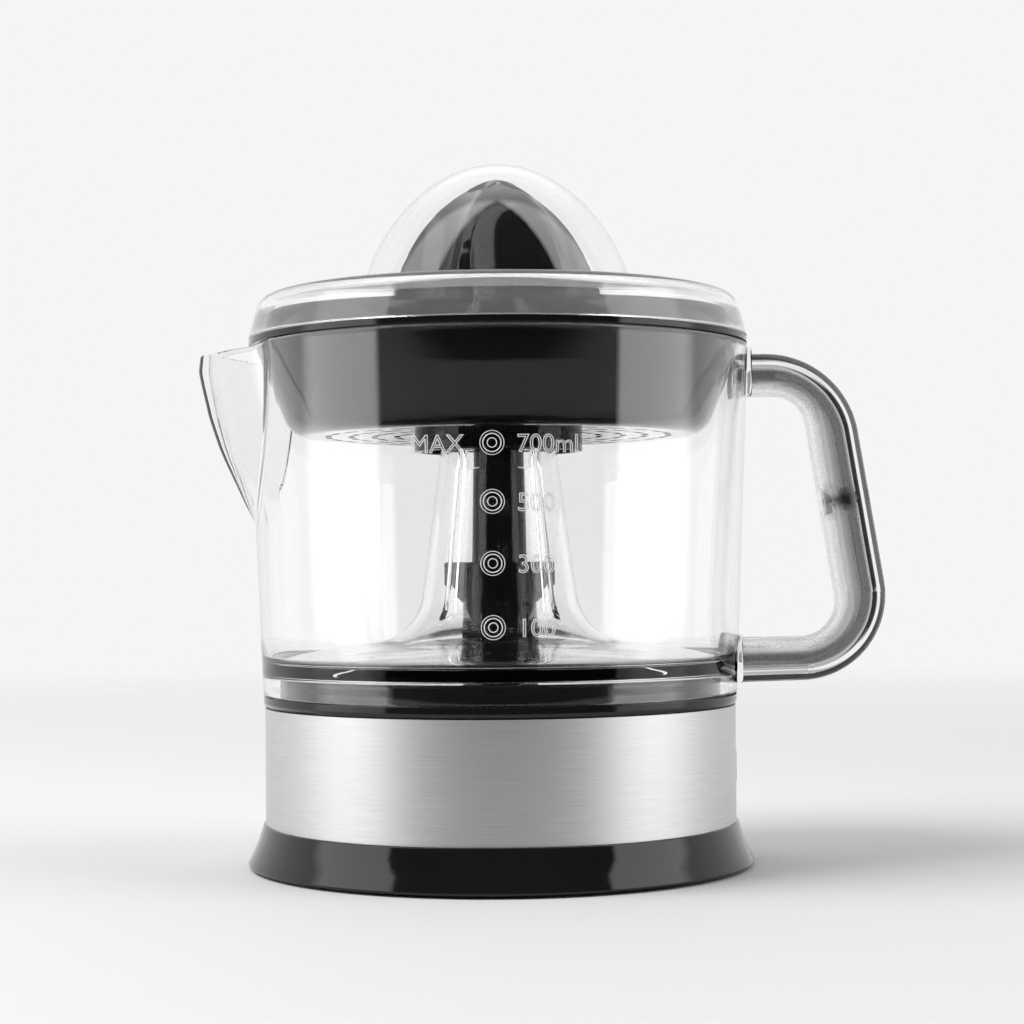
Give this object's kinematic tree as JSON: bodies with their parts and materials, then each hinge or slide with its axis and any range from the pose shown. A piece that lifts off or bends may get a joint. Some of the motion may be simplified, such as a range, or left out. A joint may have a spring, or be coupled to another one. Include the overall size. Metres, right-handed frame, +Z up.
{
  "type": "citrus press juicer",
  "caption": "Electric citrus press with a round motor base, clear jug with spout and handle, strainer, ribbed reamer cone and clear domed lid.",
  "frame": {"origin": "on the drive axis, at the height of the surface that the press stands on", "axes": "+Z up along the drive axis, +X towards the handle, -X towards the spout, -Y towards the volume marks"},
  "size_m": [0.194, 0.1432, 0.1991],
  "materials": {
    "black_gloss": "gloss moulded black",
    "black_matte": "matte moulded black",
    "brushed_band": "horizontally brushed",
    "clear_jug": "clear moulded",
    "clear_lid": "clear moulded",
    "clear_cover": "clear moulded",
    "frosted_grip": "frosted translucent",
    "rubber": "moulded rubber",
    "bright_steel": "turned",
    "zinc_screw": "zinc plated",
    "core_steel": "laminated",
    "copper": "enamelled wire",
    "ferrite": "ground ferrite",
    "bronze": "sintered bronze",
    "gear_white": "moulded acetal",
    "gearbox_grey": "glass-filled",
    "switch_black": "moulded",
    "button_red": "moulded",
    "brass_tabs": "stamped"
  },
  "bodies": {
    "base": {"lower_housing": "black_gloss", "upper_housing": "black_gloss", "bottom_cover": "black_matte", "rubber_feet": "rubber", "cover_screws": "zinc_screw", "steel_band": "brushed_band", "cord_gland": "rubber", "deck_bush": "bronze", "tower_bush": "bronze", "shaft_seal": "rubber", "stator_core": "core_steel", "coil_bobbins": "gear_white", "coil_windings": "copper", "motor_bracket": "bright_steel", "motor_screws": "zinc_screw", "rotor_bushes": "bronze", "gearbox_base": "gearbox_grey", "gearbox_cover": "gearbox_grey", "gearbox_screws": "zinc_screw", "idler_pins": "bright_steel", "micro_switch": "switch_black", "switch_holder": "bright_steel", "switch_pins": "zinc_screw", "switch_terminals": "brass_tabs"},
    "rotor": {"rotor_magnet": "ferrite", "rotor_shaft": "bright_steel", "motor_pinion": "gear_white"},
    "first_idler": {"first_gear": "gear_white"},
    "second_idler": {"second_gear": "gear_white"},
    "plunger": {"press_plunger": "gear_white", "return_spring": "bright_steel"},
    "drive": {"output_gear": "gear_white", "drive_shaft": "black_gloss", "spindle": "bright_steel"},
    "lever": {"switch_lever": "bright_steel"},
    "button": {"switch_button": "button_red"},
    "jug_body": {"jug": "clear_jug", "handle_grip": "frosted_grip", "handle_cover": "clear_cover", "handle_screw": "zinc_screw"},
    "strainer_body": {"strainer": "black_gloss"},
    "reamer": {"cone": "black_gloss", "cone_stem": "black_gloss"},
    "lid_body": {"lid": "clear_lid"}
  },
  "joints": [
    {"name": "shaft_press", "type": "slide", "parent": "base", "child": "plunger", "axis": [0, 0, -1], "range_m": [0, 0.0015], "stiffness_N_per_m": 900, "springref_m": -0.004, "deforming": ["return_spring"]},
    {"name": "drive_spin", "type": "hinge", "parent": "plunger", "child": "drive", "pos_m": [0, 0, 0.04], "axis": [0, 0, 1], "continuous": true},
    {"name": "second_spin", "type": "hinge", "parent": "base", "child": "second_idler", "pos_m": [-0.028, 0, 0.04], "axis": [0, 0, 1], "continuous": true},
    {"name": "first_spin", "type": "hinge", "parent": "base", "child": "first_idler", "pos_m": [-0.02179, 0.02318, 0.04], "axis": [0, 0, 1], "continuous": true},
    {"name": "rotor_spin", "type": "hinge", "parent": "base", "child": "rotor", "pos_m": [-0.00375, 0.02975, 0.04], "axis": [0, 0, 1], "continuous": true},
    {"name": "lever_swing", "type": "hinge", "parent": "base", "child": "lever", "pos_m": [0.0205, 0, 0.0162], "axis": [0, -1, 0], "range_deg": [0, 4.25]},
    {"name": "button_press", "type": "slide", "parent": "base", "child": "button", "axis": [0, 0, -1], "range_m": [0, 0.00048]},
    {"name": "jug_lift", "type": "slide", "parent": "base", "child": "jug_body", "axis": [0, 0, 1], "range_m": [0, 0.095]},
    {"name": "strainer_lift", "type": "slide", "parent": "jug_body", "child": "strainer_body", "axis": [0, 0, 1], "range_m": [0, 0.06]},
    {"name": "cone_spin", "type": "hinge", "parent": "strainer_body", "child": "reamer", "pos_m": [0, 0, 0.15], "axis": [0, 0, 1], "continuous": true},
    {"name": "lid_lift", "type": "slide", "parent": "strainer_body", "child": "lid_body", "axis": [0, 0, 1], "range_m": [0, 0.055]}
  ],
  "couplings": [
    {"joint": "second_spin", "follows": "drive_spin", "ratio": -3},
    {"joint": "first_spin", "follows": "drive_spin", "ratio": 12},
    {"joint": "rotor_spin", "follows": "drive_spin", "ratio": -52},
    {"joint": "cone_spin", "follows": "drive_spin", "ratio": 1},
    {"joint": "lever_swing", "follows": "shaft_press", "rad_per_m": 48.78},
    {"joint": "button_press", "follows": "shaft_press", "ratio": 0.31707}
  ]
}
